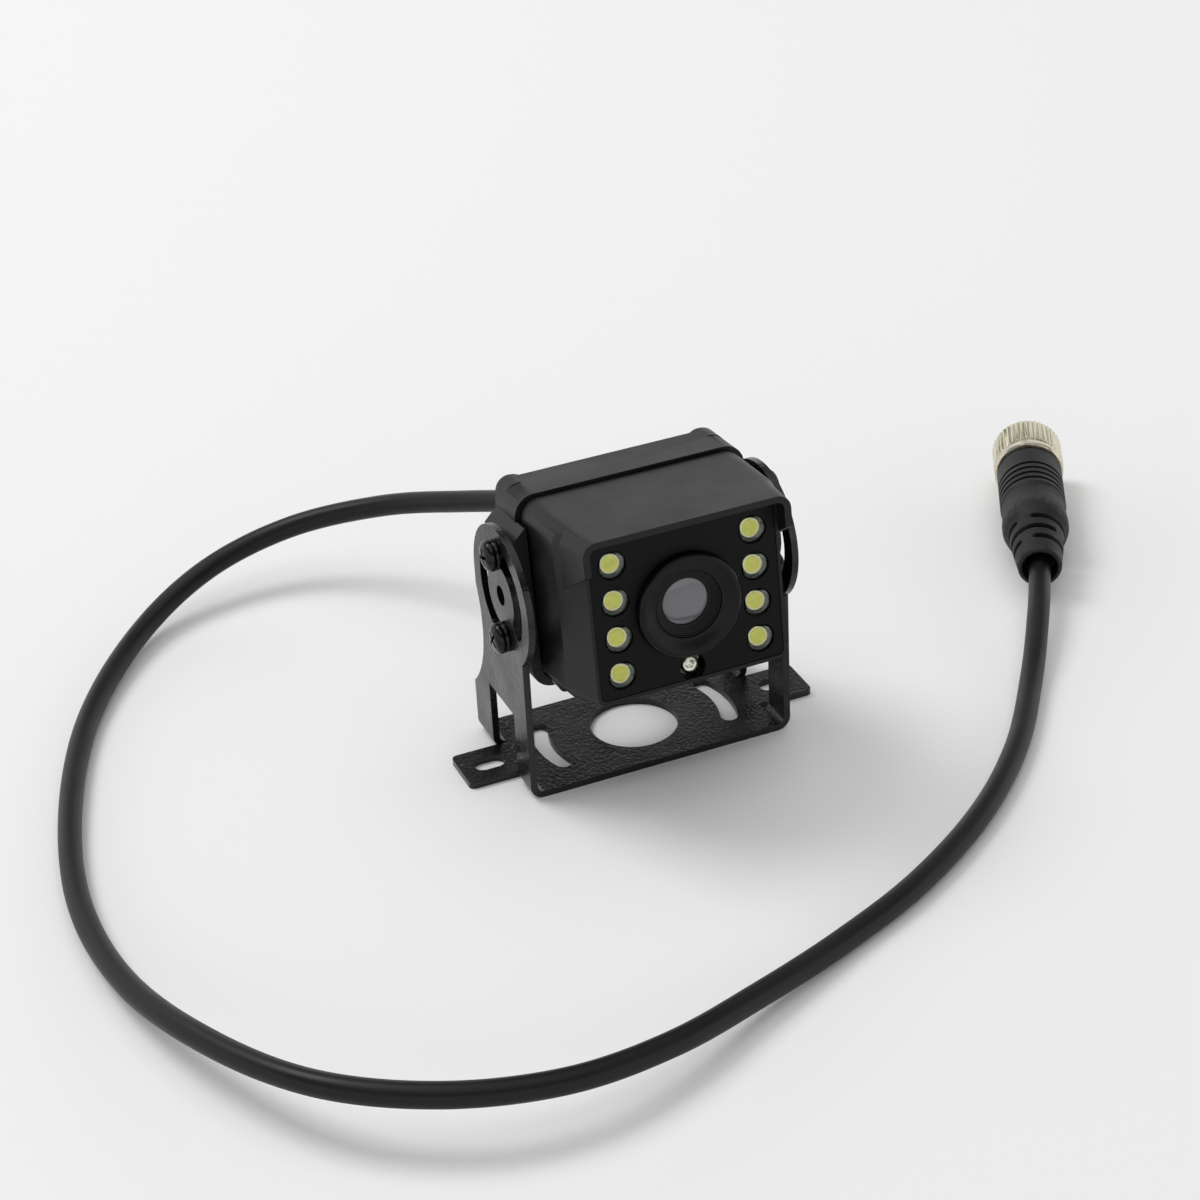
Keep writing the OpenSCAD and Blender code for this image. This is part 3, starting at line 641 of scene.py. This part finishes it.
def addTiltScrews():
    # pan head with a rolled edge, a Phillips recess and the end of the threads
    head = turned("tiltScrews", [(0, tilt["tip"] - tilt["x"] + 0.3), (1.6, tilt["tip"] - tilt["x"] + 0.3),
                                 (1.93, -5.9),
                                 (1.93, 0), (3.05, 0), (3.25, 0.12), (3.3, 0.4), (3.3, 0.85), (3.2, 1.12),
                                 (2.95, 1.45), (2.5, 1.72), (1.9, 1.93), (1.1, 2), (0, 2)], 64)
    cutCross(head, 1.9, 0.78, 2.05, 1.2, 20)
    smooth(bevelled(head, 0.08, 1, 45), 30)
    ring = turned("tiltWashers", [(2.1, 0), (3.4, 0), (3.48, 0.1), (3.48, 0.62), (3.4, 0.75), (2.1, 0.75),
                                  (2.1, 0)], 64)
    # every fourth run of the rim is drawn in, which leaves the lock washer's teeth
    for vertex in ring.data.vertices:
        turn = round(math.atan2(vertex.co.y, vertex.co.x) / math.tau * 64) % 4
        vertex.select = turn < 2 and vertex.co.xy.length > 3 * mm
    pick(ring)
    bpy.ops.object.mode_set(mode="EDIT")
    bpy.ops.transform.resize(value=(0.93, 0.93, 1), center_override=(0, 0, 0))
    bpy.ops.object.mode_set(mode="OBJECT")
    smooth(ring, 30)
    screws = []
    washers = []
    for side in (-1, 1):
        for z in (-tilt["slot"], tilt["slot"]):
            face = housingFrame @ Matrix.Translation((0, 0,
                                                      z * mm)) @ Matrix.Rotation(math.radians(90 * side),
                                                                                 4, "Y")
            twist = Matrix.Rotation(math.radians(35 * side + 3 * z), 4, "Z")
            screws.append(face @ Matrix.Translation((0, 0, tilt["x"] * mm)) @ twist)
            washers.append(face @ Matrix.Translation((0, 0, (tilt["x"] - 0.78) * mm)))
    finishPiece(copies(head, screws), finishes["blackScrew"], "housing", "black_screw", "tilt_screws")
    finishPiece(copies(ring, washers), finishes["blackScrew"], "housing", "black_screw", "tilt_washers")


rear = {"x": 21.4, "top": 17.3, "low": -18.9, "back": 11.0}


def addRearScrews():
    head = turned("rearScrews", [(0, -20.7), (1.1, -20.7), (1.43, -20.2), (1.43, 0), (3, 0), (3.1, 0.12),
                                 (3.1, 0.95),
                                 (2.98, 1.35), (2.7, 1.75), (2.2, 2.08), (1.5, 2.25), (0, 2.3)], 64)
    cutCross(head, 1.8, 0.7, 2.35, 1.3, 10)
    smooth(bevelled(head, 0.06, 1, 45), 30)
    back = Matrix.Rotation(math.radians(-90), 4, "X")
    places = [housingFrame @ Matrix.Translation((x * mm, rear["back"] * mm, z * mm)) @ back
              for x in (-rear["x"], rear["x"]) for z in (rear["low"], rear["top"])]
    finishPiece(copies(head, places), finishes["blackScrew"], "housing", "black_screw", "rear_screws")


def addGland():
    # moulded strain relief: a hex collar against the shell and a ribbed taper
    outline = [(2.5, 15.4), (5.4, 15.4), (5.4, 13.05), (7, 13.05), (7.2, 12.8), (7.2, 11.3), (6.9, 11)]
    for rib in range(5):
        r = 5.2 - rib * 0.32
        h = 10.6 - rib * 2.0
        outline += [(r, h), (r - 0.05, h - 1.1), (r - 0.75, h - 1.25), (r - 0.8, h - 1.75)]
    outline += [(3.7, 0.5), (3.5, 0.1), (3.2, 0), (2.5, 0), (2.5, 15.4)]
    gland = turned("cableGland", outline, 96)
    settle(gland, facing(0, lead["glandEnd"], lead["glandZ"]))
    smooth(gland, 30)
    finishPiece(gland, finishes["moulding"], "housing", "gland_rubber", "cable_gland")


addTiltScrews()
addRearScrews()
addGland()
print("screws and gland made")

sleeve = finishPiece(easedCopy("plug_sleeve", "plugSleeveMoulded", 0.18, 2, 25, 0.8, 22),
                     finishes["sleeve"],
                     "bracket", "plug_rubber", "plug_sleeve")
nut = finishPiece(easedCopy("coupling_nut", "couplingNutPlated", 0.06, 1, 30), finishes["nickel"],
                  "coupling_nut",
                  "nickel_plated", "coupling_nut")

carried = {
    "housing_gasket": "seal", "lens_seal": "seal", "inner_lens": "innerGlass", "lens_holder": "moulding",
    "image_sensor": "sensorWindow", "sensor_board": "board", "lamp_board": "board",
    "light_sensor_base": "moulding", "board_spacers": "brass", "board_screws": "zinc",
    "board_connector": "ivory", "lead_wires": "wire", "cable_entry": "jacket", "plug_shell": "nickel",
    "plug_seal": "seal", "contact_insert": "moulding", "contacts": "gold",
}
for name, finish in carried.items():
    nodes[name].data.materials.clear()
    nodes[name].data.materials.append(finishes[finish])
print("CAD nodes carried over:", len(carried))

addLead()


studio = {
    "floor": 6.0,
    "floorColour": "#f1f1f2",
    "lightPlace": (-0.95, 1.15, 2.2),
    "lightAim": (0, 0, 0.03),
    "lightSize": (1.2, 1.2),
    "lightPower": 27,
    # brightness of the room by height: a lit backdrop low down, a dark gap, and a bright ceiling
    "sky": ((0.0, 1.15), (0.38, 1.15), (0.5, 0.16), (0.74, 0.16), (0.88, 1.15)),
}


def addFloor():
    deselectAll()
    bpy.ops.mesh.primitive_plane_add(size=studio["floor"], location=(0, 0, 0))
    floor = bpy.context.object
    floor.name = "studioFloor"
    material, shader = newMaterial("paperFloor", {"Base Color": colour(studio["floorColour"]),
                                                  "Roughness": 0.7})
    floor.data.materials.append(material)


def addLight(name, place, aim, size, power, tint="#ffffff"):
    data = bpy.data.lights.new(name, "AREA")
    data.shape = "RECTANGLE"
    data.size, data.size_y = size
    data.energy = power
    data.color = colour(tint)[:3]
    light = bpy.data.objects.new(name, data)
    bpy.context.scene.collection.objects.link(light)
    direction = Vector(aim) - Vector(place)
    light.matrix_world = Matrix.Translation(place) @ direction.to_track_quat("-Z", "Y").to_matrix().to_4x4()


def addStudio():
    world = bpy.data.worlds.new("studio")
    world.use_nodes = True
    background = next(n for n in world.node_tree.nodes if n.type == "BACKGROUND")
    place = addNode(world, "ShaderNodeTexCoord")
    split = addNode(world, "ShaderNodeSeparateXYZ", links={"Vector": place.outputs["Generated"]})
    ramp = addNode(world, "ShaderNodeValToRGB", links={"Fac": split.outputs["Z"]})
    while len(ramp.color_ramp.elements) < len(studio["sky"]):
        ramp.color_ramp.elements.new(0.5)
    for element, (height, value) in zip(ramp.color_ramp.elements, studio["sky"]):
        element.position = height
        element.color = (value, value, value, 1)
    world.node_tree.links.new(ramp.outputs["Color"], background.inputs["Color"])
    background.inputs["Strength"].default_value = 1.0
    bpy.context.scene.world = world
    addLight("softboxBack", studio["lightPlace"], studio["lightAim"], studio["lightSize"],
             studio["lightPower"])


addFloor()
addStudio()
bpy.context.scene.view_settings.view_transform = "Standard"
print("studio set")
